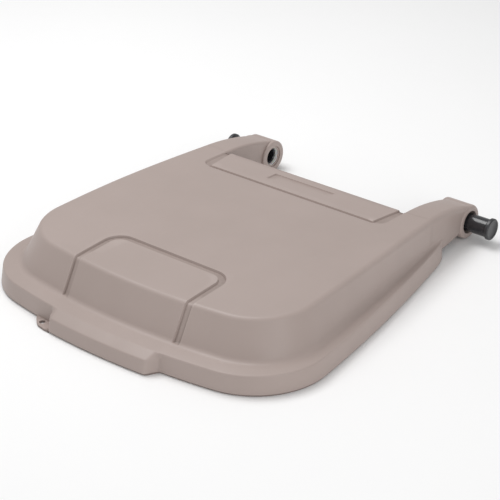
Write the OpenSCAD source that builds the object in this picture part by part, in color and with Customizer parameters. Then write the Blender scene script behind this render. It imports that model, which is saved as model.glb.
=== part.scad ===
// Lid of a two-wheeled refuse bin, with its hinge bushes and hinge pins.
// Millimetres. X runs across the lid, -Y to the hand grip, +Y to the hinge,
// Z up from the lower edge of the rim.

/* [Rim and flange] */
// Half width the bowed side of the rim is drawn from
rim_half = 250; // [200:0.5:320]
// Front of the rim on the centre line
rim_front = -280.7; // [-340:0.1:-220]
// Corner radius of the rim in plan
rim_corner = 100; // [60:1:140]
// Bow radius of every front edge in plan
front_bow = 919; // [500:1:2000]
// Bow radius of the side edges in plan
side_bow = 2275; // [1200:5:4000]
// Where along Y the rim's sides run parallel to Y
side_mid = -331.6; // [-400:0.1:0]
// Height of the flange above the lower edge
rim_high = 26; // [15:0.5:40]
// Inward lean of the skirt over its height
rim_lean = 3.7; // [0:0.1:8]
// How far the lower edge of the skirt is tucked in
rim_tuck = 1; // [0:0.1:2]
// Height of the tucked-in band
tuck_high = 2.6; // [1:0.1:6]
// Wall of the moulding
wall = 4; // [2.5:0.1:6]
// Where along Y the flange starts to round off against the arm
fin_start = 141; // [120:1:170]
// Where along Y the flange has run out
fin_end = 168; // [150:1:200]

/* [Dome] */
// Half width of the dome's foot at the front end of its sides
base_half = 221.3; // [180:0.1:290]
// Narrowing of the foot per millimetre going back
base_taper = 0.1115; // [0:0.0005:0.3]
// Front of the dome where it stands on the flange
base_front = -253; // [-320:0.1:-200]
// Corner radius of the dome at the flange
base_corner = 86; // [50:1:120]
// Height of the dome's foot
base_high = 28; // [16:0.5:44]
// Half width of the dome at its top edge
top_half = 206; // [160:0.1:260]
// Narrowing of the top edge per millimetre going back
top_taper = 0.085; // [0:0.001:0.3]
// Where along Y the top edge starts to narrow
top_mid = -45; // [-200:1:60]
// Front of the dome at its top edge
top_front = -227.7; // [-300:0.1:-180]
// Corner radius of the dome at its top edge
top_corner = 77; // [40:1:110]
// Height of the top at the front edge
top_high = 71.8; // [50:0.1:100]
// Rise of the top per millimetre going back
top_rise = 0.0292; // [0:0.0001:0.1]
// Fall-off of the top per millimetre squared going back
top_fall = 0.0001145; // [0:0.0000005:0.001]
// Rounding of the top edge and of the arms' shoulders
edge_round = 8; // [2:0.5:14]
// Back of the dome between the two arms
dome_back = 137.5; // [80:0.5:200]

/* [Front panel and rear pad] */
// Half width of the front panel
panel_half = 84.5; // [40:0.5:130]
// Rear of the panel
panel_back = -155.4; // [-200:0.1:-80]
// Corner radius of the panel
panel_corner = 15; // [4:0.5:30]
// Width of the panel's groove
groove_wide = 10.4; // [4:0.1:16]
// Depth of the panel's groove
groove_deep = 2.2; // [0.8:0.1:2.5]
// Front edge of the rear pad
pad_front = 84.4; // [60:0.1:120]
// Half width of the pad at its front
pad_half = 134; // [90:0.5:160]
// Half width of the pad at the back of the dome
pad_half_back = 140.5; // [90:0.5:160]
// Outer edge of the slots beside the pad
slot_out = 150; // [120:0.5:170]
// Depth of the slots beside the pad
slot_deep = 2; // [0.8:0.1:2.5]
// Half length of the shallow pocket in the pad
pocket_half = 48.5; // [20:0.5:90]
// Rear edge of the pocket
pocket_back = 121.8; // [100:0.1:132]
// Depth of the pocket at its rear edge
pocket_deep = 1.1; // [0.4:0.1:2]

/* [Hand grip] */
// Half length of the grip along the front
grip_half = 76; // [50:1:120]
// How far the grip stands out of the rim
grip_out = 14.8; // [5:0.1:30]
// Height of the grip's front edge
grip_high = 19.5; // [10:0.5:26]
// Length over which the grip's ends fade into the rim
grip_fade = 13; // [5:0.5:30]
// Radius of the tether hole
tether_r = 4; // [2:0.5:8]
// Distance of the tether hole from the centre line
tether_x = -98; // [-140:0.5:-60]
// Y of the tether hole
tether_y = -281.4; // [-300:0.1:-260]
// Thickness of the tether ledge
ledge = 3.5; // [2:0.1:8]

/* [Hinge arms] */
// Y of the hinge axis
axis_y = 238; // [180:0.5:300]
// Z of the hinge axis
axis_z = 23.8; // [0:0.1:60]
// Inner side of each arm
arm_in = 148.5; // [100:0.5:200]
// Where along Y the arms start to bend down
arm_bend = 140; // [120:1:180]
// Extra fall of the arms per millimetre squared
arm_fall = 0.00137; // [0:0.00001:0.004]
// Lower edge of the arms beside the dome
arm_low = 11.3; // [0:0.1:20]
// Gentle rise of the arms' lower edge per millimetre squared
low_rise = 0.0016; // [0:0.0001:0.004]
// Thickness of the cross ribs in the arms
rib = 2.4; // [1.5:0.1:4]
// Inner face of each ear
ear_in = 145; // [100:0.5:190]
// Outer face of each ear
ear_out = 188; // [150:0.5:240]
// Radius of the ear
ear_r = 23.6; // [18:0.5:34]
// Radius of the ear's bore
bore_r = 15.5; // [10:0.1:24]
// Depth of the recess in the inner face
mouth_deep = 2; // [1:0.1:5]
// Thickness of the lip that stops the bush
lip_thick = 1.2; // [0.8:0.1:4]
// Radius of the hole in the lip
lip_r = 12.9; // [9:0.1:22]
// Chamfer on the mouths of the bore
mouth_cham = 0.8; // [0.3:0.1:2]

/* [Bushes and pins] */
// Radial running clearance of the bush in the ear and the pin in the bush
run_gap = 0.05; // [0.01:0.01:0.1]
// Length of the bush
bush_long = 27; // [12:0.5:38]
// Radius of the pin's shaft
pin_r = 12.5; // [8:0.1:20]
// Wall of the hollow pin
pin_wall = 3; // [1.5:0.1:5]
// X of the open inner end of the pin
pin_in = 152; // [140:0.5:180]
// X of the inner face of the pin's head
head_in = 217.4; // [190:0.1:260]
// Thickness of the pin's head
head_thick = 5.6; // [3:0.1:12]
// Radius of the pin's head
head_r = 14.8; // [12:0.1:26]
// Depth of the dish in the head
dish_deep = 1.2; // [0.3:0.1:3]

/* [Hidden] */
eps = 0.02;
// Everything is moved along Y so that the origin lies under the middle of the part
centre_y = -(rim_front - grip_out + axis_y + ear_r) / 2;
n_front = 8;
n_corner = 12;
n_side = 11;
fn = 96;
bury = 0.35;
bush_in = ear_in + mouth_deep + lip_thick + 0.1;
taupe = [0.68, 0.62, 0.59];
white = [0.90, 0.90, 0.87];
grey = [0.16, 0.16, 0.18];

// 0 well below zero and t well above it, with a soft bend of width w between
function bend(t, w) = t / w > 30 ? t : w * ln(1 + exp(t / w));
function ramp(t) = let (u = min(max(t, 0), 1)) u * u * (3 - 2 * u);

// Height of the top; past arm_bend it is the back of the arms, going down to the ears
function top_z(y) = top_high + top_rise * (y - top_front)
                    - top_fall * (y - top_front) * (y - top_front)
                    - arm_fall * pow(max(y - arm_bend, 0), 2);

// Side lines in plan: 0 for the rim, 1 for the dome's foot, 2 for its top edge.
// The last two flare again a little where they become the arms.
function side_x(kind, y) =
    kind == 0 ? rim_half - (y - side_mid) * (y - side_mid) / (2 * side_bow)
  : kind == 1 ? base_half - base_taper * (y + 142) + 0.08 * bend(y - 148, 14)
  : top_half - top_taper * bend(y - top_mid, 45) + 0.045 * bend(y - 145, 15);
function side_n(kind, y) =
    let (s = (side_x(kind, y + 0.05) - side_x(kind, y - 0.05)) / 0.1) [1, -s] / norm([1, s]);
function side_p(kind, y, inset) = [side_x(kind, y) - inset / side_n(kind, y)[0], y];

function arc(c, r, a0, a1, n, first = 0) =
    [for (i = [first:n]) c + r * [cos(a0 + (a1 - a0) * i / n), sin(a0 + (a1 - a0) * i / n)]];

// Where the round corner of radius r meets the side, found by halving
function corner_end(kind, inset, r, c, lo, hi, i = 40) =
    i == 0 ? lo :
    let (y = (lo + hi) / 2, p = side_p(kind, y, inset) - r * side_n(kind, y))
    norm(p - c) > front_bow - inset - r ? corner_end(kind, inset, r, c, y, hi, i - 1)
                                        : corner_end(kind, inset, r, c, lo, y, i - 1);

// Right half of a plan outline: bowed front, round corner, side
function half_outline(kind, front, corner, inset, rear) =
    let (c = [0, front + front_bow], r = corner - inset,
         y = corner_end(kind, inset, r, c, -270, -60), n = side_n(kind, y),
         m = side_p(kind, y, inset) - r * n,
         a0 = atan2(m[1] - c[1], m[0] - c[0]), a1 = atan2(n[1], n[0]))
    concat(arc(c, front_bow - inset, -90, a0, n_front), arc(m, r, a0, a1, n_corner, 1),
           [for (i = [1:n_side]) side_p(kind, y + (rear - y) * i / n_side, inset)]);

function both_sides(h) =
    concat([for (i = [len(h) - 1:-1:1]) [-h[i][0], h[i][1]]], h);

function rim_loop(inset, rear, z) =
    [for (p = both_sides(half_outline(0, rim_front, rim_corner, inset, rear))) [p[0], p[1], z]];
function base_loop(inset, rear, z) =
    [for (p = both_sides(half_outline(1, base_front, base_corner, inset, rear))) [p[0], p[1], z]];
function top_loop(inset, rear, drop) =
    [for (p = both_sides(half_outline(2, top_front, top_corner, inset, rear)))
        [p[0], p[1], top_z(p[1]) - drop]];

function between(a, b, t) = [for (i = [0:len(a) - 1]) a[i] * (1 - t) + b[i] * t];
// A loop on the rounded edge from a to b with its corner at e
function rounding(a, e, b, u) = between(between(a, e, u), between(e, b, u), u);

// Closed thin-walled tub: flange, dome walls and top, open below
module tub() {
    yi = dome_back - wall;
    rim = rim_loop(rim_lean + 2.5, dome_back, rim_high);
    base = base_loop(0, dome_back, base_high);
    edge = top_loop(0, dome_back, 0);
    foot_a = between(rim, base, 0.8);
    foot_b = between(base, edge, 0.1);
    edge_a = between(base, edge, 0.89);
    edge_b = top_loop(5.5, dome_back - 3.5, 0);
    base_i = base_loop(wall, yi, base_high - wall);
    edge_i = top_loop(wall + 1, yi, wall);
    outer = [
        rim_loop(rim_tuck, dome_back, 0),
        rim_loop(0, dome_back, tuck_high),
        rim_loop(rim_lean * 0.9, dome_back, rim_high - 3),
        rim_loop(rim_lean + 0.6, dome_back, rim_high - 0.8),
        rim,
        foot_a,
        rounding(foot_a, base, foot_b, 0.4),
        rounding(foot_a, base, foot_b, 0.7),
        foot_b,
        edge_a,
        rounding(edge_a, edge, edge_b, 0.25),
        rounding(edge_a, edge, edge_b, 0.5),
        rounding(edge_a, edge, edge_b, 0.75),
        edge_b];
    inner = [
        rim_loop(wall, yi, 0),
        rim_loop(rim_lean + wall, yi, rim_high - wall),
        base_i,
        between(base_i, edge_i, 0.9),
        top_loop(wall + 5, yi, wall)];
    n = len(base);
    no = len(outer);
    ni = len(inner);
    pts = [for (l = outer) for (p = l) p];
    pti = [for (l = inner) for (p = l) p];
    o = len(pts);
    m = (n - 1) / 2;
    side_o = [for (k = [0:no - 2]) for (j = [0:n - 1]) let (j2 = (j + 1) % n)
        each [[k * n + j, (k + 1) * n + j, (k + 1) * n + j2],
              [k * n + j, (k + 1) * n + j2, k * n + j2]]];
    side_i = [for (k = [0:ni - 2]) for (j = [0:n - 1]) let (j2 = (j + 1) % n)
        each [[o + k * n + j, o + (k + 1) * n + j2, o + (k + 1) * n + j],
              [o + k * n + j, o + k * n + j2, o + (k + 1) * n + j2]]];
    ring = [for (j = [0:n - 1]) let (j2 = (j + 1) % n)
        each [[j, j2, o + j2], [j, o + j2, o + j]]];
    to = (no - 1) * n;
    ti = o + (ni - 1) * n;
    cap_o = [for (j = [0:m - 1]) let (r = n - 1 - j)
        each (j == m - 1 ? [[to + j, to + r, to + j + 1]]
                         : [[to + j, to + r, to + j + 1], [to + j + 1, to + r, to + r - 1]])];
    cap_i = [for (j = [0:m - 1]) let (r = n - 1 - j)
        each (j == m - 1 ? [[ti + j, ti + j + 1, ti + r]]
                         : [[ti + j, ti + j + 1, ti + r], [ti + j + 1, ti + r - 1, ti + r]])];
    polyhedron(points = concat(pts, pti),
               faces = concat(side_o, side_i, ring, cap_o, cap_i), convexity = 8);
}

// Solid through a row of sections with equal numbers of points, each section run
// clockwise when looked at from outside the first one
module loft(sections) {
    n = len(sections[0]);
    k = len(sections);
    polyhedron(points = [for (s = sections) for (p = s) p],
        faces = concat(
            [[for (j = [0:n - 1]) j]],
            [for (i = [0:k - 2]) for (j = [0:n - 1]) let (a = i * n, j2 = (j + 1) % n)
                each [[a + j, a + n + j, a + n + j2], [a + j, a + n + j2, a + j2]]],
            [[for (j = [n - 1:-1:0]) (k - 1) * n + j]]), convexity = 6);
}

// Things drawn in the Y-Z plane and run along X from x0 to x1
module along_x(x0, x1) {
    translate([x0, 0, 0]) rotate([90, 0, 90]) linear_extrude(height = x1 - x0) children();
}

module x_rod(x0, x1, r) {
    translate([x0, axis_y, axis_z]) rotate([0, 90, 0])
        cylinder(h = x1 - x0, r = r, $fn = fn);
}

// Lower edge of the arm; behind the dome it goes over the ear's bore inside the ring's wall
ring_mid = (ear_r + bore_r) / 2;
function arm_low_z(y) =
    y < axis_y - ring_mid - 2.5 ? arm_low + low_rise * pow(max(y - 160, 0), 2)
  : y < axis_y - ring_mid ? axis_z
  : axis_z + sqrt(max(pow(ring_mid, 2) - pow(y - axis_y, 2), 0));

function arm_section(y) =
    let (xo = side_x(1, y) - bury, h = top_z(y) - bury, l = arm_low_z(y),
         e = min(edge_round, 0.4 * (h - l)), ei = min(4, 0.3 * (h - l)))
    [for (p = concat([[arm_in, l], [xo, l]], arc([xo - e, h - e], e, 0, 90, 4),
                     arc([arm_in + ei, h - ei], ei, 90, 180, 2))) [p[0], y, p[1]]];

arm_stations = concat([dome_back - 6.3], [for (y = [144:10:214]) y],
                      [axis_y - ring_mid - 3.5, axis_y - ring_mid - 1.5],
                      [for (i = [0:8]) axis_y - ring_mid + 2 + 3.6 * i]);

module arm_hollow() {
    y0 = dome_back + 0.1;
    polygon(concat([[y0, -10]], [for (i = [0:7]) let (y = y0 + (213 - y0) * i / 7) [y, top_z(y) - 4.5]],
                   [[213, 30], [215, -10]]));
}

// Flange carried back beside the arm and rounded off against it
function fin_section(y) =
    let (k = sqrt(max(1 - pow(max(y - fin_start, 0) / (fin_end - fin_start), 2), 0)),
         x = side_x(1, y) - 1.4, w = side_x(0, y) - x - bury)
    [for (p = [[x - 4, 0], [x + (w - rim_tuck) * k, 0], [x + w * k, tuck_high],
               [x + (w - rim_lean * 0.9) * k, rim_high - 3], [x + (w - rim_lean - 2.5) * k, rim_high - bury],
               [x - 4, rim_high - bury]]) [p[0], y, p[1]]];

// Right-hand arm with its ear; the left is its mirror image
module arm() {
    difference() {
        loft([for (i = [len(arm_stations) - 1:-1:0]) arm_section(arm_stations[i])]);
        difference() {
            along_x(arm_in + 3.5, side_x(1, 214) - 4) arm_hollow();
            for (y = [158, 182, 204])
                translate([arm_in, y - rib / 2, arm_low_z(y) + 6]) cube([60, rib, 80]);
        }
    }
    translate([0, axis_y, axis_z]) rotate([0, 90, 0]) rotate_extrude($fn = fn)
        polygon([[0, ear_in], [ear_r - 2.2, ear_in], [ear_r - 0.6, ear_in + 0.6],
                 [ear_r, ear_in + 2.2], [ear_r, ear_out - 2.8], [ear_r - 0.8, ear_out - 0.8],
                 [ear_r - 2.8, ear_out], [0, ear_out]]);
    loft([for (i = [9:-1:0]) fin_section(dome_back - 3 + (fin_end - 0.6 - dome_back + 3) * i / 9)]);
}

module ear_bore() {
    x_rod(ear_in - 1, ear_in + mouth_deep, bore_r);
    x_rod(ear_in, ear_out, lip_r);
    x_rod(ear_in + mouth_deep + lip_thick, ear_out + 1, bore_r);
    translate([ear_out, axis_y, axis_z]) rotate([0, 90, 0])
        translate([0, 0, -mouth_cham])
            cylinder(h = mouth_cham + eps, r1 = bore_r, r2 = bore_r + mouth_cham + eps, $fn = fn);
    translate([ear_in, axis_y, axis_z]) rotate([0, -90, 0])
        translate([0, 0, -mouth_cham])
            cylinder(h = mouth_cham + eps, r1 = bore_r, r2 = bore_r + mouth_cham + eps, $fn = fn);
}

function front_y(x, y0) = y0 + front_bow - sqrt(front_bow * front_bow - x * x);

function grip_reach(x) = (grip_out + bury) * (1 - ramp((abs(x) - grip_half) / grip_fade)) - bury;

function grip_section(x) =
    let (y = front_y(x, rim_front), o = grip_reach(x))
    [for (p = [[y + 8, 0], [y + 8, rim_high - bury], [y + rim_lean + 0.3, rim_high - bury],
               [y - 0.93 * o + 2.8, grip_high], [y - o, tuck_high], [y - o + rim_tuck, 0]])
        [x, p[0], p[1]]];

function grip_hollow(x) =
    let (y = front_y(x, rim_front), o = grip_reach(x))
    [for (p = [[y + 9, -1], [y + 9, rim_high - wall - 1], [y + 2, rim_high - wall - 1],
               [y - o + wall + 2.6, grip_high - wall], [y - o + wall, -1]]) [x, p[0], p[1]]];

grip_stations = concat([for (i = [0:6]) -grip_half - grip_fade + 0.1 + grip_fade * i / 6],
                       [for (i = [-5:5]) grip_half * i / 6],
                       [for (i = [6:-1:0]) grip_half + grip_fade - 0.1 - grip_fade * i / 6]);

module grip() {
    difference() {
        loft([for (x = grip_stations) grip_section(x)]);
        loft([for (i = [-6:6]) grip_hollow((grip_half - 4) * i / 6)]);
    }
    // Tether ledge at the left end of the grip
    difference() {
        linear_extrude(height = ledge)
            polygon([[-grip_half - 2, rim_front + 8], [-grip_half - 2, rim_front - 10.8],
                     [-86, rim_front - 10.6], [-98, rim_front - 8.3], [-104, rim_front - 4.3],
                     [-109, rim_front + 0.2], [-114, rim_front + 5.7], [-115, rim_front + 8]]);
        translate([tether_x, tether_y, -1]) cylinder(h = ledge + 2, r = tether_r, $fn = fn);
    }
}

// Plan shape with two round rear corners, open to the front
module round_back(w, yb, r) {
    polygon(concat([[-w, -300], [w, -300]], arc([w - r, yb - r], r, 0, 90, 8),
                   arc([-w + r, yb - r], r, 90, 180, 8)));
}

// Cuts its children into the top to an even depth, following the slope of the top at y
module sunk(y, deep) {
    slope = atan((top_z(y + 15) - top_z(y - 15)) / 30);
    translate([0, y, top_z(y) - deep]) rotate([slope, 0, 0])
        linear_extrude(height = 20) translate([0, -y]) children();
}

module grooves() {
    g = groove_wide;
    // Round the front panel
    translate([0, 0, top_z(-175) - groove_deep]) linear_extrude(height = 20)
        intersection() {
            difference() {
                round_back(panel_half + g, panel_back + g, panel_corner + g);
                round_back(panel_half, panel_back, panel_corner);
            }
            translate([-200, top_front + 4]) square([400, 200]);
        }
    // Down the front wall, which leans back
    lean = atan2(top_front - base_front, top_z(top_front) - base_high);
    for (s = [-1, 1]) {
        x = s * (panel_half + g / 2);
        y = front_y(abs(x), base_front);
        translate([x, y, base_high + 2.5]) rotate([-lean, 0, 0])
            translate([-g / 2, -20, 0])
                cube([g, 21.4 + groove_deep, 58]);
    }
    // Slots beside the rear pad, open at the rear
    for (s = [0, 1]) mirror([s, 0, 0]) sunk(110, slot_deep)
        polygon(concat([[pad_half + 0.5, pad_front - 1.5]],
                       arc([slot_out - 12.5, pad_front + 11], 12.5, -90, 0, 6),
                       [[slot_out, dome_back + 1], [pad_half_back + 1, dome_back + 1]]));
    // Dip before the pad, deepest at the pad's edge
    translate([0, pad_front, top_z(pad_front) - slot_deep * 0.85]) rotate([-20, 0, 0])
        translate([-pad_half - 1, -12, 0]) cube([2 * pad_half + 2, 12, 20]);
    // Shallow pocket, deepest at its rear edge
    translate([0, pocket_back, top_z(pocket_back) - pocket_deep])
        rotate([atan((top_z(pocket_back) - top_z(pocket_back - 22)) / 22) - 1.4, 0, 0])
            translate([-pocket_half - 3, -22, 0]) cube([2 * pocket_half, 22, 20]);
}

module lid_shell() {
    color(taupe) difference() {
        union() {
            tub();
            arm();
            mirror([1, 0, 0]) arm();
            grip();
        }
        grooves();
        ear_bore();
        mirror([1, 0, 0]) ear_bore();
    }
}

module bush() {
    difference() {
        x_rod(bush_in, bush_in + bush_long, bore_r - run_gap);
        x_rod(bush_in - 1, bush_in + bush_long + 1, pin_r + run_gap);
    }
}

module pin() {
    l = head_in - pin_in;
    translate([pin_in, axis_y, axis_z]) rotate([0, 90, 0])
        rotate_extrude($fn = fn)
            polygon([[pin_r - pin_wall, 0], [pin_r - 0.6, 0], [pin_r, 0.6], [pin_r, l],
                     [head_r - 1.6, l], [head_r - 0.4, l + 0.9], [head_r, l + 2],
                     [head_r, l + head_thick - 2], [head_r - 0.6, l + head_thick - 0.6],
                     [head_r - 2, l + head_thick], [head_r - 3.2, l + head_thick],
                     [head_r - 4.6, l + head_thick - dish_deep], [0, l + head_thick - dish_deep],
                     [0, l], [pin_r - pin_wall, l - 2]]);
}

module right_hinge_bush() { color(white) bush(); }
module left_hinge_bush() { color(white) mirror([1, 0, 0]) bush(); }
module right_hinge_pin() { color(grey) pin(); }
module left_hinge_pin() { color(grey) mirror([1, 0, 0]) pin(); }

translate([0, centre_y, 0]) {
    lid_shell();
    left_hinge_bush();
    right_hinge_bush();
    left_hinge_pin();
    right_hinge_pin();
}
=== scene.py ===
"""Looks of the wheeled-bin lid: shell, hinge bushes and hinge pins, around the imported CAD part."""
import math

import bmesh
import bpy
import numpy as np
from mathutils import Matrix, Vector
from mathutils.geometry import delaunay_2d_cdt


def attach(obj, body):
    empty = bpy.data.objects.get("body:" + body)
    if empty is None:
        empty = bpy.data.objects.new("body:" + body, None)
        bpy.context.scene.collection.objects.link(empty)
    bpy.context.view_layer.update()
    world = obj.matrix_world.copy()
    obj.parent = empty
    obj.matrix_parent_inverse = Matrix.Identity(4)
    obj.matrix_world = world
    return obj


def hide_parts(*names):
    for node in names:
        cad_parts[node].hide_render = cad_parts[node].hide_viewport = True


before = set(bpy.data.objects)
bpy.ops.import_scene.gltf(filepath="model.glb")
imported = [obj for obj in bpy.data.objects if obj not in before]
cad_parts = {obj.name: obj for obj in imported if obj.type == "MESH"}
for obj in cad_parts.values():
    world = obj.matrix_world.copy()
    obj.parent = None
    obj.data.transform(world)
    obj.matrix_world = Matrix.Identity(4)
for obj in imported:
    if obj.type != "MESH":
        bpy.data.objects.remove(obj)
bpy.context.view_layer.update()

MM = 0.001
CENTRE_Y = 16.95            # the lid is drawn from its own datum and moved back by this much, in mm

# ---------------------------------------------------------------- sizes of the lid, in mm
RIM_FRONT, RIM_CORNER, RIM_LEAN, RIM_HIGH = -280.7, 100.0, 3.7, 26.0
BASE_FRONT, BASE_CORNER, BASE_HIGH = -253.0, 86.0, 28.0
TOP_FRONT, TOP_CORNER = -227.7, 77.0
FRONT_BOW = 919.0
WALL = 4.0
RIM_TUCK, TUCK_HIGH = 2.2, 2.8      # tucked-in band along the lower edge
EDGE_ROUND, FOOT_ROUND = 8.0, 10.0
TOP_INSET = 18.0            # from the top edge to where the flat of the top is meshed
BACK = 134.5                # rear of the top between the arms, before its rounded edge
BACK_ROUND = 3.0
FIN_START, FIN_END = 141.0, 168.0   # where the flange rounds off against each arm
PANEL_HALF, PANEL_BACK, PANEL_CORNER = 84.5, -155.4, 15.0
GROOVE_WIDE, GROOVE_DEEP, GROOVE_RAMP = 10.4, 2.9, 1.3
PAD_FRONT, PAD_HALF_FRONT, PAD_HALF_BACK = 84.4, 134.0, 140.3
ARM_INNER, ARM_EDGE = 148.5, 4.0
GRIP_HALF, GRIP_OUT, GRIP_HIGH, GRIP_FADE = 76.0, 14.8, 19.5, 13.0
AXIS_Y, AXIS_Z = 238.0, 23.8
EAR_IN, EAR_OUT, EAR_R, BORE_R = 145.0, 188.0, 23.6, 15.5
LIP_R, LIP_FRONT, LIP_BACK = 12.9, 2.0, 3.2     # the lip that stops the bush, from the ear's inner face
CHANNEL_WALL = 3.5                              # wall of the hollow arms
RIB_Y, RIB_HALF = (158.0, 182.0, 204.0), 1.2    # cross ribs in the arms
BUSH_IN, BUSH_OUT, BUSH_BORE, BUSH_R = 148.3, 175.3, 12.55, 15.45
PIN_IN, PIN_NECK, PIN_OUT, PIN_R, PIN_WALL, HEAD_R = 152.0, 217.4, 223.0, 12.5, 3.0, 14.8
TETHER_X, TETHER_Y, TETHER_R, LEDGE_LOW, LEDGE_HIGH = -98.0, -281.4, 4.0, 0.15, 3.5
SLOT_DEEP, POCKET_DEEP = 2.4, 1.5
SLOT_CORNER_X, SLOT_CORNER_Y, SLOT_CORNER = 137.5, 95.0, 12.5   # round front corner of the pad's slots


def softplus(t):
    return np.log1p(np.exp(t))


def ramp(t):
    """0 below 0, 1 above 1, smooth between."""
    t = np.clip(t, 0.0, 1.0)
    return t * t * (3 - 2 * t)


def side_rim(y):
    return 250.0 - (y + 331.6) ** 2 / 4550.0


def side_base(y):
    return 221.3 - 0.1115 * (y + 142.0) + 1.12 * softplus((y - 148.0) / 14.0)


def side_top(y):
    return 206.0 - 3.82 * softplus((y + 45.0) / 45.0) + 0.675 * softplus((y - 145.0) / 15.0)


def top_z(y):
    """Height of the top; past y = 140 it is the back of the arms, which bends down to the ears."""
    s = y - TOP_FRONT
    return 71.8 + 0.0292 * s - 0.0001145 * s * s - 0.00137 * np.maximum(y - 140.0, 0.0) ** 2


def arm_low(y):
    """Lower edge of an arm: a gentle rise, then over the ear's bore inside the ring's wall."""
    r = (EAR_R + BORE_R) / 2
    below = 11.3 + 0.0016 * np.maximum(y - 160.0, 0.0) ** 2
    over = AXIS_Z + np.sqrt(np.maximum(r * r - (y - AXIS_Y) ** 2, 0.0))
    return np.where(y < AXIS_Y - r - 2.5, below, np.where(y < AXIS_Y - r, AXIS_Z, over))


# ---------------------------------------------------------------- plan outlines
GROOVE_X = [PANEL_HALF + GROOVE_WIDE * t for t in (0, 0.06, 0.125, 0.5, 0.875, 0.94, 1)]
FRONT_X = sorted(set([0.0, 10, 20, 30, 40, 50, 58, 64, 68, 71, 73, 75, 77, 79, 81, 83, 87.5,
                      91.5, 97, 99, 102, 106] + GROOVE_X))
N_FRONT, N_CORNER, N_SIDE = 6, 26, 8
SIDE_START = -105.0
SIDE_Y = list(np.arange(SIDE_START, 130, 6.0)) + [131.0, BACK]
FIN_Y = [BACK + (FIN_END - BACK) * math.sin(math.pi / 2 * i / 14) for i in range(1, 15)]
N_TUB = len(FRONT_X) + N_FRONT + N_CORNER + N_SIDE + len(SIDE_Y)    # stations up to the rear


def half_outline(side, front, corner, inset=0.0, fin=False):
    """Right half of a plan outline, from the middle of the front to the rear, one point a station."""
    def edge(y):
        slope = (side(y + 0.05) - side(y - 0.05)) / 0.1
        n = np.array([1.0, -slope]) / math.hypot(1.0, slope)
        return np.array([side(y) - inset / n[0], y]), n

    bow, radius = FRONT_BOW - inset, corner - inset
    centre = np.array([0.0, front + FRONT_BOW])
    low, high = -270.0, -60.0
    for _ in range(60):
        mid = (low + high) / 2
        p, n = edge(mid)
        if np.linalg.norm(p - radius * n - centre) > bow - radius:
            low = mid
        else:
            high = mid
    p, n = edge(low)
    c = p - radius * n
    u = (c - centre) / np.linalg.norm(c - centre)
    x_end = bow * u[0]
    xs = FRONT_X + list(np.linspace(FRONT_X[-1], x_end, N_FRONT + 1)[1:])
    points = [(x, centre[1] - math.sqrt(bow * bow - x * x)) for x in xs]
    a0, a1 = math.atan2(u[1], u[0]), math.atan2(n[1], n[0])
    for i in range(1, N_CORNER + 1):
        a = a0 + (a1 - a0) * i / N_CORNER
        points.append((c[0] + radius * math.cos(a), c[1] + radius * math.sin(a)))
    ys = list(np.linspace(p[1], SIDE_START, N_SIDE + 1)[1:]) + SIDE_Y[1:] + (FIN_Y if fin else [])
    points += [(float(edge(y)[0][0]), y) for y in ys]
    return np.array(points)


def mirrored(half):
    """Both halves of a station list, left rear to right rear."""
    left = half[:0:-1].copy()
    left[..., 0] *= -1
    return np.concatenate([left, half])


def grip_out(x):
    """How far the hand grip stands out of the rim."""
    return GRIP_OUT * (1 - ramp((np.abs(x) - GRIP_HALF) / GRIP_FADE))


def rounded(keys, radii, steps):
    """Rows of points along the keys (a list of station arrays), with the inner keys rounded off."""
    rows = [keys[0]]
    for k in range(1, len(keys) - 1):
        a, p, b = keys[k - 1], keys[k], keys[k + 1]
        u, v = a - p, b - p
        lu = np.linalg.norm(u, axis=1, keepdims=True)
        lv = np.linalg.norm(v, axis=1, keepdims=True)
        u, v = u / np.maximum(lu, 1e-9), v / np.maximum(lv, 1e-9)
        cos = np.clip((u * v).sum(1, keepdims=True), -0.9999, 0.9999)
        half = np.arccos(cos) / 2
        t = np.minimum(radii[k] / np.tan(half), 0.48 * np.minimum(lu, lv))
        r = t * np.tan(half)
        axis = (u + v) / np.maximum(np.linalg.norm(u + v, axis=1, keepdims=True), 1e-9)
        c = p + axis * r / np.sin(half)
        s, e = p + u * t - c, p + v * t - c
        turn = math.pi - 2 * half
        for i in range(steps[k] + 1):
            f = i / steps[k]
            w = np.sin((1 - f) * turn) / np.maximum(np.sin(turn), 1e-9)
            z = np.sin(f * turn) / np.maximum(np.sin(turn), 1e-9)
            rows.append(c + s * w + e * z)
    rows.append(keys[-1])
    return rows


def with_z(plan, z):
    z = np.broadcast_to(z, (len(plan),))
    return np.column_stack([plan, z])


def rounded_box(x, y):
    """Distance outside the front panel's outline, which is open at the front."""
    qx = np.abs(x) - (PANEL_HALF - PANEL_CORNER)
    qy = y - (PANEL_BACK - PANEL_CORNER)
    outside = np.hypot(np.maximum(qx, 0), np.maximum(qy, 0))
    return np.minimum(np.maximum(qx, qy), 0) + outside - PANEL_CORNER


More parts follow.
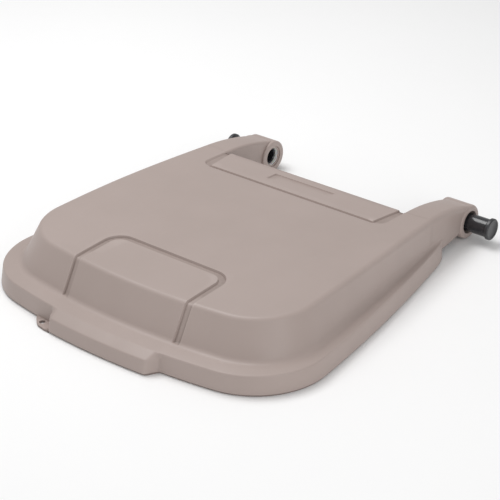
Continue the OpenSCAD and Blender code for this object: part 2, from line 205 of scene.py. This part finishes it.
def groove_depth(x, y):
    """Depth of everything sunk into the top: panel groove, rear pad's slots and its pocket."""
    s = rounded_box(x, y)
    panel = ramp(s / GROOVE_RAMP) * (1 - ramp((s - GROOVE_WIDE + GROOVE_RAMP) / GROOVE_RAMP))
    ax = np.abs(x)
    pad = PAD_HALF_FRONT + (PAD_HALF_BACK - PAD_HALF_FRONT) * (y - PAD_FRONT) / (BACK - PAD_FRONT)
    # Slot beside the pad, out to the arm's edge, rounded at its front corner
    qx, qy = ax - SLOT_CORNER_X, SLOT_CORNER_Y - y
    outer = np.hypot(np.maximum(qx, 0), np.maximum(qy, 0)) + np.minimum(np.maximum(qx, qy), 0)
    outer = outer - SLOT_CORNER
    slot = ramp((ax - pad) / 1.0) * (1 - ramp((outer + 1.8) / 2.2))
    # Narrow dip before the pad, steep on the pad's side
    dip = ramp((y - PAD_FRONT + 5.0) / 4.6) * (1 - ramp((y - PAD_FRONT + 0.3) / 0.9))
    dip = dip * (1 - ramp((ax - PAD_HALF_FRONT - 1) / 6.0))
    # Pocket in the pad: square at the rear and left, running out towards the front and right
    pocket = ramp((x + 51.5) / 0.9) * (1 - ramp((x - 45.5) / 2.5)) * (1 - ramp((y - 121.2) / 0.8))
    pocket = pocket * ramp((y - 99.0) / 8.0)
    return GROOVE_DEEP * panel + SLOT_DEEP * np.maximum(slot, dip) + POCKET_DEEP * pocket


# ---------------------------------------------------------------- mesh building
class Builder:
    def __init__(self):
        self.points, self.faces, self.count = [], [], 0

    def add(self, points):
        self.points.append(np.asarray(points, float))
        self.count += len(points)
        return self.count - len(points)

    def grid(self, rows, flip=False, closed=False, skip=None):
        """Quads between rows of equal length; skip(row, column) leaves a quad out."""
        n, first = len(rows[0]), self.add(np.concatenate(rows))
        for k in range(len(rows) - 1):
            for j in range(n if closed else n - 1):
                if skip and skip(k, j):
                    continue
                a, b = first + k * n + j, first + k * n + (j + 1) % n
                face = (a, b, b + n, a + n)
                self.faces.append(face[::-1] if flip else face)
        return first

    def box(self, x0, x1, y0, y1, z0, z1):
        f = self.add([(x, y, z) for y in (y0, y1) for x, z in ((x0, z0), (x1, z0), (x1, z1), (x0, z1))])
        for q in ((0, 1, 2, 3), (7, 6, 5, 4), (0, 4, 5, 1), (1, 5, 6, 2), (2, 6, 7, 3), (3, 7, 4, 0)):
            self.faces.append(tuple(f + i for i in q))

    def object(self, name, weld=1e-5, angle=38.0):
        mesh = bpy.data.meshes.new(name)
        points = np.concatenate(self.points) * MM
        points[:, 1] += CENTRE_Y * MM
        mesh.from_pydata(points.tolist(), [], self.faces)
        obj = bpy.data.objects.new(name, mesh)
        bpy.context.scene.collection.objects.link(obj)
        bm = bmesh.new()
        bm.from_mesh(mesh)
        bmesh.ops.remove_doubles(bm, verts=bm.verts, dist=weld)
        bm.to_mesh(mesh)
        bm.free()
        mesh.shade_smooth()
        mesh.set_sharp_from_angle(angle=math.radians(angle))
        return obj


def inside(points, loop):
    """Which points lie inside a closed loop."""
    loop = np.asarray(loop, float)
    x, y = points[:, :1], points[:, 1:2]
    x0, y0 = loop[:, 0], loop[:, 1]
    x1, y1 = np.roll(x0, -1), np.roll(y0, -1)
    rise = np.where(np.abs(y1 - y0) < 1e-12, 1e-12, y1 - y0)
    cross = ((y0 > y) != (y1 > y)) & (x < x0 + (y - y0) * (x1 - x0) / rise)
    return cross.sum(1) % 2 == 1


def flat_fill(loop, lines=(), spots=(), hole=()):
    """Triangles inside a closed loop, with the given lines and loose points worked in."""
    verts, edges = [], []
    for line, closed in [(loop, True), (hole, True)] + [(one, False) for one in lines]:
        first, n = len(verts), len(line)
        verts += [Vector(p) for p in line]
        edges += [(first + i, first + (i + 1) % n) for i in range(n if closed else n - 1)]
    verts += [Vector(p) for p in spots]
    out, _, tris, _, _, _ = delaunay_2d_cdt(verts, edges, [], 0, 0.02)
    plan, tris = np.array([(p.x, p.y) for p in out]), np.array(tris)
    middle = plan[tris].mean(1)
    keep = inside(middle, loop)
    if len(hole):
        keep &= ~inside(middle, hole)
    return plan, [tuple(int(i) for i in t) for t in tris[keep]]


def panel_line(s):
    """A line round the front panel at distance s outside it."""
    w, r = PANEL_HALF + s, PANEL_CORNER + s
    cx, cy = PANEL_HALF - PANEL_CORNER, PANEL_BACK - PANEL_CORNER
    right = [(w, y) for y in np.linspace(-215, cy, 14)[:-1]]
    right += [(cx + r * math.cos(a), cy + r * math.sin(a)) for a in np.linspace(0, math.pi / 2, 14)]
    across = [(x, cy + r) for x in np.linspace(cx, -cx, 22)[1:-1]]
    return right + across + [(-x, y) for x, y in right[::-1]]


def slot_line(t):
    """A line along the outer edge of the slots beside the pad, moved out by t."""
    r = SLOT_CORNER + t
    line = [(SLOT_CORNER_X + r * math.cos(a), SLOT_CORNER_Y - r * math.sin(a))
            for a in np.linspace(1.45, 0, 10)]
    return line + [(SLOT_CORNER_X + r, y) for y in (100, 106, 112, 118, 124, 130, BACK + 2)]


def pad_edge_line(t):
    slope = (PAD_HALF_BACK - PAD_HALF_FRONT) / (BACK - PAD_FRONT)
    return [(PAD_HALF_FRONT + slope * (y - PAD_FRONT) + t, y) for y in np.linspace(86, BACK + 2, 10)]


def build_shell():
    b = Builder()
    rim0 = half_outline(side_rim, RIM_FRONT, RIM_CORNER, RIM_TUCK, fin=True)
    rim1 = half_outline(side_rim, RIM_FRONT, RIM_CORNER, 0.2, fin=True)
    rim_grip = half_outline(side_rim, RIM_FRONT, RIM_CORNER, RIM_LEAN * 0.75, fin=True)
    rim2 = half_outline(side_rim, RIM_FRONT, RIM_CORNER, RIM_LEAN, fin=True)
    base = half_outline(side_base, BASE_FRONT, BASE_CORNER, 0.0, fin=True)
    top = half_outline(side_top, TOP_FRONT, TOP_CORNER, 0.0, fin=True)
    flat = half_outline(side_top, TOP_FRONT, TOP_CORNER, TOP_INSET, fin=True)
    # The flange rounds off against the arm behind the dome
    for rim in (rim0, rim1, rim_grip, rim2):
        t = np.clip((rim[:, 1] - FIN_START) / (FIN_END - FIN_START), 0, 1)
        keep = np.where(rim[:, 1] > FIN_START, np.sqrt(1 - t * t), 1.0)
        rim[:, 0] = base[:, 0] + (rim[:, 0] - base[:, 0]) * keep
    # The hand grip stands out of the front of the rim
    for rim, share in ((rim0, 1.0), (rim1, 1.0), (rim_grip, 0.93)):
        front = np.arange(len(rim)) < len(FRONT_X)
        rim[:, 1] -= np.where(front, grip_out(rim[:, 0]) * share, 0.0)
    halves = [with_z(rim0, 0.0), with_z(rim1, TUCK_HIGH), with_z(rim_grip, GRIP_HIGH),
              with_z(rim2, RIM_HIGH), with_z(base, BASE_HIGH), with_z(top, top_z(top[:, 1])),
              with_z(flat, top_z(flat[:, 1]))]
    keys = [mirrored(h) for h in halves]
    foot = FOOT_ROUND + 0 * keys[4][:, :1]
    steps = [0, 3, 5, 5, 9, 10, 0]
    rows = rounded(keys, [0, 0.5, 3.2, 2.6, foot, EDGE_ROUND, 0], steps)
    n_skirt = 1 + sum(n + 1 for n in steps[1:5])        # rows up to the foot of the dome's wall
    # Panel groove down the front wall
    plain = [row.copy() for row in rows]
    for k in range(n_skirt - 9, len(rows)):
        p = plain[k]
        s = np.abs(p[:, 0]) - PANEL_HALF
        g = ramp(s / GROOVE_RAMP) * (1 - ramp((s - GROOVE_WIDE + GROOVE_RAMP) / GROOVE_RAMP))
        g = g * (p[:, 1] < PANEL_BACK - 30)
        g = g * ramp((p[:, 2] - BASE_HIGH - 0.3) / 2.2)
        along = plain[k + 1] - plain[k - 1] if k + 1 < len(rows) else np.array([[0.0, 1.0, 0.0]]) + 0 * p
        slope = np.maximum(np.hypot(along[:, 1], along[:, 2]), 1e-9)
        ny, nz = -along[:, 2] / slope, along[:, 1] / slope
        rows[k] = p - (GROOVE_DEEP * g)[:, None] * np.column_stack([0 * ny, ny, nz])
    n_fin = len(FIN_Y)
    total = len(rows[0])
    # Underside of the flange beside each arm
    foot = [(side_base(y) - 3.0, y) for y in rim0[-n_fin - 1:, 1]]
    for side in (1, -1):
        strip = [with_z(rim0[-n_fin - 1:], 0.0), with_z(np.array(foot), 0.0), with_z(np.array(foot), 20.0)]
        b.grid([row * (side, 1, 1) for row in strip], flip=side > 0)
    b.grid(rows, skip=lambda k, j: k >= n_skirt - 1 and (j < n_fin or j >= total - 1 - n_fin))

    # The flat of the top, with its grooves
    edge = rows[-1][n_fin:total - n_fin]
    rear_x = list(np.linspace(edge[-1][0], -edge[-1][0], 40)[1:-1])
    rear_x += [s * x for s in (-1, 1) for x in (140.3, 141.0, 141.8, 146.9, 148.5, 149.4, 150.4)]
    rear_x = sorted(set(round(x, 3) for x in rear_x), reverse=True)
    loop = [(p[0], p[1]) for p in edge] + [(x, BACK) for x in rear_x]
    lines = [panel_line(GROOVE_WIDE * t) for t in (0, 0.045, 0.085, 0.125, 0.5, 0.875, 0.915, 0.955, 1)]
    for s in (1, -1):
        lines += [[(s * x, y) for x, y in slot_line(t)] for t in (-1.8, -1.1, -0.4, 0.4)]
        lines += [[(s * x, y) for x, y in pad_edge_line(t)] for t in (0, 0.35, 0.7, 1.0)]
    lines += [[(x, PAD_FRONT + t) for x in np.linspace(-139, 139, 60)]
              for t in (-5.0, -3.5, -2.0, -0.8, -0.3, 0.0, 0.3, 0.6)]
    lines += [[(x, y) for x in np.linspace(-51.5, 48, 24)] for y in (121.2, 121.5, 121.8, 122.0)]
    lines += [[(x, y) for y in np.linspace(99, 122.2, 8)] for x in (-51.5, -51.2, -50.9, -50.6)]
    spots = [(x, y) for x in np.arange(-190, 191, 9.0) for y in np.arange(-205, 134, 9.0)]
    spots = [p for p in spots if abs(rounded_box(p[0], p[1]) - 5) > 8]
    plan, tris = flat_fill(loop, lines, spots)
    z = top_z(plan[:, 1]) - groove_depth(plan[:, 0], plan[:, 1])
    first = b.add(np.column_stack([plan, z]))
    b.faces += [tuple(first + i for i in t) for t in tris]

    # Rounded rear edge and rear wall between the arms
    xs = np.array([x for x in rear_x if abs(x) <= ARM_INNER + 0.01])
    z0 = top_z(BACK) - groove_depth(xs, np.full(len(xs), BACK))
    rear = [np.column_stack([xs, BACK + BACK_ROUND * math.sin(a) + 0 * xs,
                             z0 - BACK_ROUND * (1 - math.cos(a))])
            for a in np.linspace(0, math.pi / 2, 7)]
    rear.append(np.column_stack([xs, BACK + BACK_ROUND + 0 * xs, 1.0 + 0 * xs]))
    rear.append(np.column_stack([xs, BACK + BACK_ROUND - 1.0 + 0 * xs, 0 * xs]))
    rear.append(np.column_stack([xs, BACK + BACK_ROUND - WALL + 0 * xs, 0 * xs]))
    rear.append(np.column_stack([xs, BACK + BACK_ROUND - WALL + 0 * xs, 66 + 0 * xs]))
    b.grid(rear)
    build_underside(b, rim0)
    for side in (1, -1):
        build_arm(b, side)
        build_ear(b, side)
    build_tether(b)
    return b.object("lid_shell_moulding")


def build_underside(b, rim0):
    """Inner skin of the tub: skirt, flange, dome walls and ceiling, seen from below."""
    n = N_TUB - 1
    inner0 = half_outline(side_rim, RIM_FRONT, RIM_CORNER, WALL)[:n]
    inner1 = half_outline(side_rim, RIM_FRONT, RIM_CORNER, RIM_LEAN + WALL - 1)[:n]
    foot = half_outline(side_base, BASE_FRONT, BASE_CORNER, WALL)[:n]
    top = half_outline(side_top, TOP_FRONT, TOP_CORNER, WALL + 0.8)[:n]
    flat = half_outline(side_top, TOP_FRONT, TOP_CORNER, TOP_INSET)[:n]
    keys = [with_z(rim0[:n], 0.0), with_z(inner0, 0.0), with_z(inner1, RIM_HIGH - WALL),
            with_z(foot, BASE_HIGH - WALL), with_z(top, top_z(top[:, 1]) - WALL),
            with_z(flat, top_z(flat[:, 1]) - WALL)]
    keys = [mirrored(k) for k in keys]
    rows = rounded(keys, [0, 0.6, 3.0, 5.0, 5.0, 0], [0, 2, 4, 5, 6, 0])
    b.grid(rows, flip=True)
    edge = rows[-1]
    loop = [(p[0], p[1]) for p in edge]
    rear = edge[-1][1]
    loop += [(x, rear) for x in np.linspace(edge[-1][0], -edge[-1][0], 16)[1:-1]]
    spots = [(x, y) for x in np.arange(-170, 171, 17.0) for y in np.arange(-200, 128, 14.0)]
    plan, tris = flat_fill(loop, spots=spots)
    first = b.add(np.column_stack([plan, top_z(plan[:, 1]) - WALL]))
    b.faces += [tuple(first + i for i in t)[::-1] for t in tris]


def build_arm(b, side):
    """Hinge arm: a hollow channel that carries the dome's side back to the ear."""
    r = (EAR_R + BORE_R) / 2
    ys = np.concatenate([np.linspace(BACK, AXIS_Y - r - 4, 22),
                         np.linspace(AXIS_Y - r - 3, AXIS_Y - r + 2, 9),
                         np.linspace(AXIS_Y - r + 4, 252.0, 16)])
    low, high = arm_low(ys), top_z(ys)
    foot_x = side_base(ys)
    lean = (side_top(ys) - foot_x) / (high - BASE_HIGH)

    def outer_x(z):
        return foot_x + lean * (z - BASE_HIGH)

    def key(x, z):
        return np.column_stack([x + 0 * ys, ys, z + 0 * ys])

    t = CHANNEL_WALL
    low_in = np.minimum(low, high - t - 1)
    keys = [key(outer_x(low) - t, low_in), key(outer_x(low), low), key(side_top(ys), high),
            key(ARM_INNER, high), key(ARM_INNER, low), key(ARM_INNER + t, low_in)]
    edge = np.minimum(EDGE_ROUND, 0.4 * (high - low))[:, None]
    rows = rounded(keys, [0, 0.8, edge, ARM_EDGE, 0.8, 0], [0, 3, 10, 7, 3, 0])
    under = [key(outer_x(low) - t, low_in), key(side_top(ys) - t, high - t),
             key(ARM_INNER + t, high - t), key(ARM_INNER + t, low_in)]
    inner = rounded(under, [0, 3.0, 2.0, 0], [0, 5, 5, 0])
    for p in rows + inner:
        p[:, 0] *= side
    b.grid(rows, flip=side > 0)
    b.grid(inner, flip=side < 0)
    # Three cross ribs in the channel
    for y in RIB_Y:
        z1 = float(top_z(y)) - t + 0.5
        z0 = float(arm_low(np.array(y))) + 6
        x0, x1 = ARM_INNER + 2, float(side_top(y)) - 2
        b.box(*sorted((side * x0, side * x1)), y - RIB_HALF, y + RIB_HALF, z0, z1)
    # Bulkhead between the dome and the channel
    x0, x1 = ARM_INNER - 4.0, float(side_base(BACK)) - 2.0
    b.box(*sorted((side * x0, side * x1)), 130.8, BACK + BACK_ROUND - 0.1, 0.3, float(top_z(BACK)) - WALL)
    b.box(*sorted((side * (x1 - 1.0), side * (x1 + 9.3))), 130.8, BACK + 1.0, 0.3, RIM_HIGH - 2.5)


def turned(b, profile, side, steps=96):
    """A shape turned about the hinge axis from (x, radius) points that run round it."""
    angles = np.linspace(0, 2 * math.pi, steps, endpoint=False)
    y, z = np.cos(angles), np.sin(angles)
    rows = [np.column_stack([side * x + 0 * angles, AXIS_Y + r * y, AXIS_Z + r * z]) for x, r in profile]
    b.grid(rows, flip=side < 0, closed=True)


def quarter(x, r, radius, a0, a1, steps=6):
    """Points of a rounded edge about (x, r)."""
    return [(x + radius * math.cos(a), r + radius * math.sin(a))
            for a in np.linspace(math.radians(a0), math.radians(a1), steps)]


def build_ear(b, side):
    lip0, lip1 = EAR_IN + LIP_FRONT, EAR_IN + LIP_BACK
    profile = [(lip0, LIP_R), (lip0, BORE_R), (EAR_IN + 1.0, BORE_R)]
    profile += quarter(EAR_IN + 1.0, BORE_R + 1.0, 1.0, 270, 180, 4)
    profile += quarter(EAR_IN + 2.2, EAR_R - 2.2, 2.2, 180, 90)
    profile += quarter(EAR_OUT - 4.2, EAR_R - 4.2, 4.2, 90, 0, 10)
    profile += quarter(EAR_OUT - 1.3, BORE_R + 1.3, 1.3, 0, -90)
    profile += [(lip1, BORE_R), (lip1, LIP_R), (lip0, LIP_R)]
    turned(b, profile, side)


def build_tether(b):
    """Low ledge with a hole at the left end of the grip."""
    outline = [(-78, -270), (-78, -291.5), (-86, -291.3), (-98, -289), (-104, -285), (-109, -280.5),
               (-114, -275), (-116, -268)]
    hole = [(TETHER_X + TETHER_R * math.cos(a), TETHER_Y + TETHER_R * math.sin(a))
            for a in np.linspace(0, 2 * math.pi, 32, endpoint=False)]
    plan, keep = flat_fill(outline, hole=hole)
    for z, flip in ((LEDGE_HIGH, False), (LEDGE_LOW, True)):
        f = b.add(np.column_stack([plan, z + 0 * plan[:, 0]]))
        b.faces += [tuple(f + i for i in (t[::-1] if flip else t)) for t in keep]
    for loop, flip in ((outline, True), (hole, False)):
        a = np.array(loop)
        b.grid([with_z(a, z) for z in (LEDGE_LOW, LEDGE_HIGH)], flip=not flip, closed=True)


def build_bush(side):
    b = Builder()
    x0, x1, r0, r1 = BUSH_IN, BUSH_OUT, BUSH_BORE, BUSH_R
    profile = [(x0, r0 + 0.4), (x0, r1 - 0.3), (x0 + 0.3, r1), (x1 - 0.6, r1), (x1, r1 - 0.6),
               (x1, r0 + 0.5), (x1 - 0.5, r0), (x0 + 0.4, r0), (x0, r0 + 0.4)]
    turned(b, profile, side)
    return b.object("bush")


def build_pin(side):
    """Hollow pin with a flanged head: dished face, rounded rim, small neck fillet."""
    b = Builder()
    x0, neck, out, r, wall, head = PIN_IN, PIN_NECK, PIN_OUT, PIN_R, PIN_WALL, HEAD_R
    profile = [(neck, 0.01), (neck, 6.0)] + quarter(neck - 3.5, r - wall - 3.5, 3.5, 0, 90, 6)
    profile += [(x0 + 0.6, r - wall), (x0, r - wall + 0.6), (x0, r - 0.9)]
    profile += quarter(x0 + 0.9, r - 0.9, 0.9, 180, 90, 5)
    profile += [(neck - 0.9, r)] + quarter(neck - 0.9, r + 0.9, 0.9, -90, 0, 5)
    profile += [(neck, head - 1.3)] + quarter(neck + 1.3, head - 1.3, 1.3, 180, 90, 6)
    profile += quarter(out - 1.6, head - 1.6, 1.6, 90, 0, 8)
    profile += [(out, head - 2.4)] + quarter(out - 0.7, head - 2.4, 0.7, 0, -60, 5)
    profile += [(out - 1.3, head - 4.6), (out - 1.3, 0.01)]
    turned(b, profile, side)
    return b.object("pin")


# ---------------------------------------------------------------- materials
class Nodes:
    """Small helper to wire a material."""

    def __init__(self, name):
        self.material = bpy.data.materials.new(name)
        self.material.use_nodes = True
        self.tree = self.material.node_tree
        self.bsdf = self.tree.nodes["Principled BSDF"]
        self.coords = self.tree.nodes.new("ShaderNodeTexCoord").outputs["Object"]

    def noise(self, scale, detail=3.0, rough=0.55, stretch=None):
        vector = self.coords
        if stretch:
            m = self.tree.nodes.new("ShaderNodeMapping")
            m.inputs["Scale"].default_value = stretch
            self.tree.links.new(vector, m.inputs["Vector"])
            vector = m.outputs["Vector"]
        n = self.tree.nodes.new("ShaderNodeTexNoise")
        n.inputs["Scale"].default_value = scale
        n.inputs["Detail"].default_value = detail
        n.inputs["Roughness"].default_value = rough
        self.tree.links.new(vector, n.inputs["Vector"])
        return n.outputs["Fac"]

    def pointiness(self):
        """About 0.5 on flat ground, less in a hollow and more on an edge."""
        return self.tree.nodes.new("ShaderNodeNewGeometry").outputs["Pointiness"]

    def height(self):
        """Height above the lower edge of the rim, in metres."""
        split = self.tree.nodes.new("ShaderNodeSeparateXYZ")
        self.tree.links.new(self.coords, split.inputs["Vector"])
        return split.outputs["Z"]

    def spread(self, value, low, high, start=0.3, end=0.7):
        m = self.tree.nodes.new("ShaderNodeMapRange")
        for key, v in (("From Min", start), ("From Max", end), ("To Min", low), ("To Max", high)):
            m.inputs[key].default_value = v
        self.tree.links.new(value, m.inputs["Value"])
        return m.outputs["Result"]

    def mix(self, fac, a, b):
        m = self.tree.nodes.new("ShaderNodeMix")
        m.data_type = "RGBA"
        if isinstance(fac, float):
            m.inputs["Factor"].default_value = fac
        else:
            self.tree.links.new(fac, m.inputs["Factor"])
        for socket, value in ((m.inputs[6], a), (m.inputs[7], b)):
            if isinstance(value, tuple):
                socket.default_value = (*value, 1.0)
            else:
                self.tree.links.new(value, socket)
        return m.outputs[2]

    def bump(self, height, strength, distance, under=None):
        n = self.tree.nodes.new("ShaderNodeBump")
        n.inputs["Strength"].default_value = strength
        n.inputs["Distance"].default_value = distance
        self.tree.links.new(height, n.inputs["Height"])
        if under:
            self.tree.links.new(under, n.inputs["Normal"])
        return n.outputs["Normal"]

    def link(self, value, socket):
        self.tree.links.new(value, self.bsdf.inputs[socket])


def shell_material():
    """Taupe high-density polyethylene: fine moulded grain, faint clouding and light rubbing, with painted
    shade in hollows and on the tucked-in lower edge and a painted highlight on convex edges.
    """
    m = Nodes("taupe_polyethylene")
    cloud = m.spread(m.noise(9.0, 3.0), 0.0, 1.0, 0.35, 0.65)
    colour = m.mix(cloud, (0.395, 0.322, 0.294), (0.412, 0.336, 0.308))
    rub = m.spread(m.noise(60.0, 5.0, 0.7, (1.0, 0.25, 1.0)), 0.0, 0.10, 0.60, 0.78)
    colour = m.mix(rub, colour, (0.50, 0.42, 0.39))
    # Painted shade: darker in hollows, grooves and concave creases, where shade falls
    colour = m.mix(m.spread(m.pointiness(), 1.0, 0.0, 0.40, 0.49), colour, (0.20, 0.15, 0.13))
    # Painted highlight: lighter along convex edges and roundings, where light catches them
    colour = m.mix(m.spread(m.pointiness(), 0.0, 0.35, 0.52, 0.60), colour, (0.60, 0.52, 0.485))
    # Painted shade: darker along the tucked-in band at the lower edge of the rim, below about 3 mm
    colour = m.mix(m.spread(m.height(), 0.85, 0.0, 0.0024, 0.0033), colour, (0.20, 0.155, 0.14))
    m.link(colour, "Base Color")
    m.link(m.spread(m.noise(26.0, 4.0), 0.40, 0.50), "Roughness")
    grain = m.bump(m.noise(2600.0, 2.0, 0.6), 0.10, 0.0002)
    m.link(m.bump(m.noise(14.0, 2.0), 0.10, 0.0012, grain), "Normal")
    m.bsdf.inputs["Specular IOR Level"].default_value = 0.42
    return m.material


def bush_material():
    """Natural white nylon, smooth, with a trace of grease at random."""
    m = Nodes("white_nylon")
    m.link(m.mix(m.spread(m.noise(70.0), 0.0, 0.35), (0.96, 0.96, 0.94), (0.90, 0.89, 0.86)), "Base Color")
    m.link(m.spread(m.noise(220.0), 0.30, 0.42), "Roughness")
    m.link(m.bump(m.noise(1500.0, 2.0), 0.06, 0.0002), "Normal")
    m.bsdf.inputs["Subsurface Weight"].default_value = 0.1
    m.bsdf.inputs["Subsurface Scale"].default_value = 0.001
    return m.material


def pin_material(name, low, high, grain):
    """Charcoal glass-filled plastic; the shaft is polished and the head has a satin grain."""
    m = Nodes(name)
    m.link(m.mix(m.spread(m.noise(90.0), 0.0, 1.0), (0.020, 0.020, 0.023), (0.028, 0.028, 0.032)),
           "Base Color")
    streaks = m.noise(300.0, 4.0, 0.6, (0.1, 1.0, 1.0))
    m.link(m.spread(streaks, low, high), "Roughness")
    m.link(m.bump(m.noise(2200.0, 2.0), grain, 0.0002), "Normal")
    m.bsdf.inputs["Specular IOR Level"].default_value = 0.6
    return m.material


def floor_material():
    m = Nodes("pale_floor")
    m.link(m.mix(m.spread(m.noise(3.0), 0.0, 1.0), (0.96, 0.96, 0.96), (0.97, 0.97, 0.97)), "Base Color")
    m.link(m.spread(m.noise(40.0), 0.75, 0.85), "Roughness")
    return m.material


# ---------------------------------------------------------------- pieces
shell = build_shell()
shell.data.materials.append(shell_material())
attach(shell, "lid")
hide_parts("lid_shell")

nylon = bush_material()
polished = pin_material("charcoal_shaft", 0.13, 0.20, 0.03)
satin = pin_material("charcoal_head", 0.30, 0.40, 0.10)
for side, name in ((-1, "left"), (1, "right")):
    bush = build_bush(side)
    bush.name = name + "_bush_nylon"
    bush.data.materials.append(nylon)
    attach(bush, name + "_bush")
    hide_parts(name + "_hinge_bush")
    pin = build_pin(side)
    pin.name = name + "_pin_headed"
    pin.data.materials.append(polished)
    pin.data.materials.append(satin)
    for face in pin.data.polygons:
        if abs(face.center.x) > (PIN_NECK + 0.2) * MM:
            face.material_index = 1
    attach(pin, name + "_pin")
    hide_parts(name + "_hinge_pin")

# ---------------------------------------------------------------- stage, lights and camera
bpy.ops.mesh.primitive_plane_add(size=12.0, location=(0, 0, 0))
floor = bpy.context.object
floor.name = "floor"
floor.data.materials.append(floor_material())

world = bpy.data.worlds.new("studio")
world.use_nodes = True
world.node_tree.nodes["Background"].inputs["Color"].default_value = (1.0, 1.0, 1.0, 1.0)
world.node_tree.nodes["Background"].inputs["Strength"].default_value = 0.52
bpy.context.scene.world = world


def soft_box(name, place, aim, size, power, colour=(1.0, 1.0, 1.0)):
    data = bpy.data.lights.new(name, "AREA")
    data.shape = "RECTANGLE"
    data.size, data.size_y = size
    data.energy = power
    data.color = colour
    obj = bpy.data.objects.new(name, data)
    bpy.context.scene.collection.objects.link(obj)
    obj.location = place
    obj.rotation_euler = (Vector(aim) - Vector(place)).to_track_quat("-Z", "Y").to_euler()
    return obj


soft_box("key", (-0.75, 0.05, 1.9), (0, -0.1, 0.03), (1.3, 1.0), 23.0)
soft_box("side", (2.0, -0.95, 0.8), (0, -0.05, 0.03), (1.0, 1.0), 11.0)

CAMERA_AZIMUTH, CAMERA_ELEVATION, CAMERA_DISTANCE = 38.713, 28.551, 2.1158
SENSOR, LENS, SHIFT_X, SHIFT_Y = 36.0, 116.54, 0.00175, 0.02469
az, el = math.radians(CAMERA_AZIMUTH), math.radians(CAMERA_ELEVATION)
back = Vector((math.sin(az) * math.cos(el), -math.cos(az) * math.cos(el), math.sin(el)))
camera_data = bpy.data.cameras.new("camera")
camera_data.sensor_width, camera_data.lens = SENSOR, LENS
camera_data.shift_x, camera_data.shift_y = SHIFT_X, SHIFT_Y
camera = bpy.data.objects.new("camera", camera_data)
bpy.context.scene.collection.objects.link(camera)
camera.location = back * CAMERA_DISTANCE + Vector((0, CENTRE_Y * MM, 0))
camera.rotation_euler = back.to_track_quat("Z", "Y").to_euler()
bpy.context.scene.camera = camera
bpy.context.scene.view_settings.view_transform = "Standard"
bpy.context.scene.view_settings.look = "None"
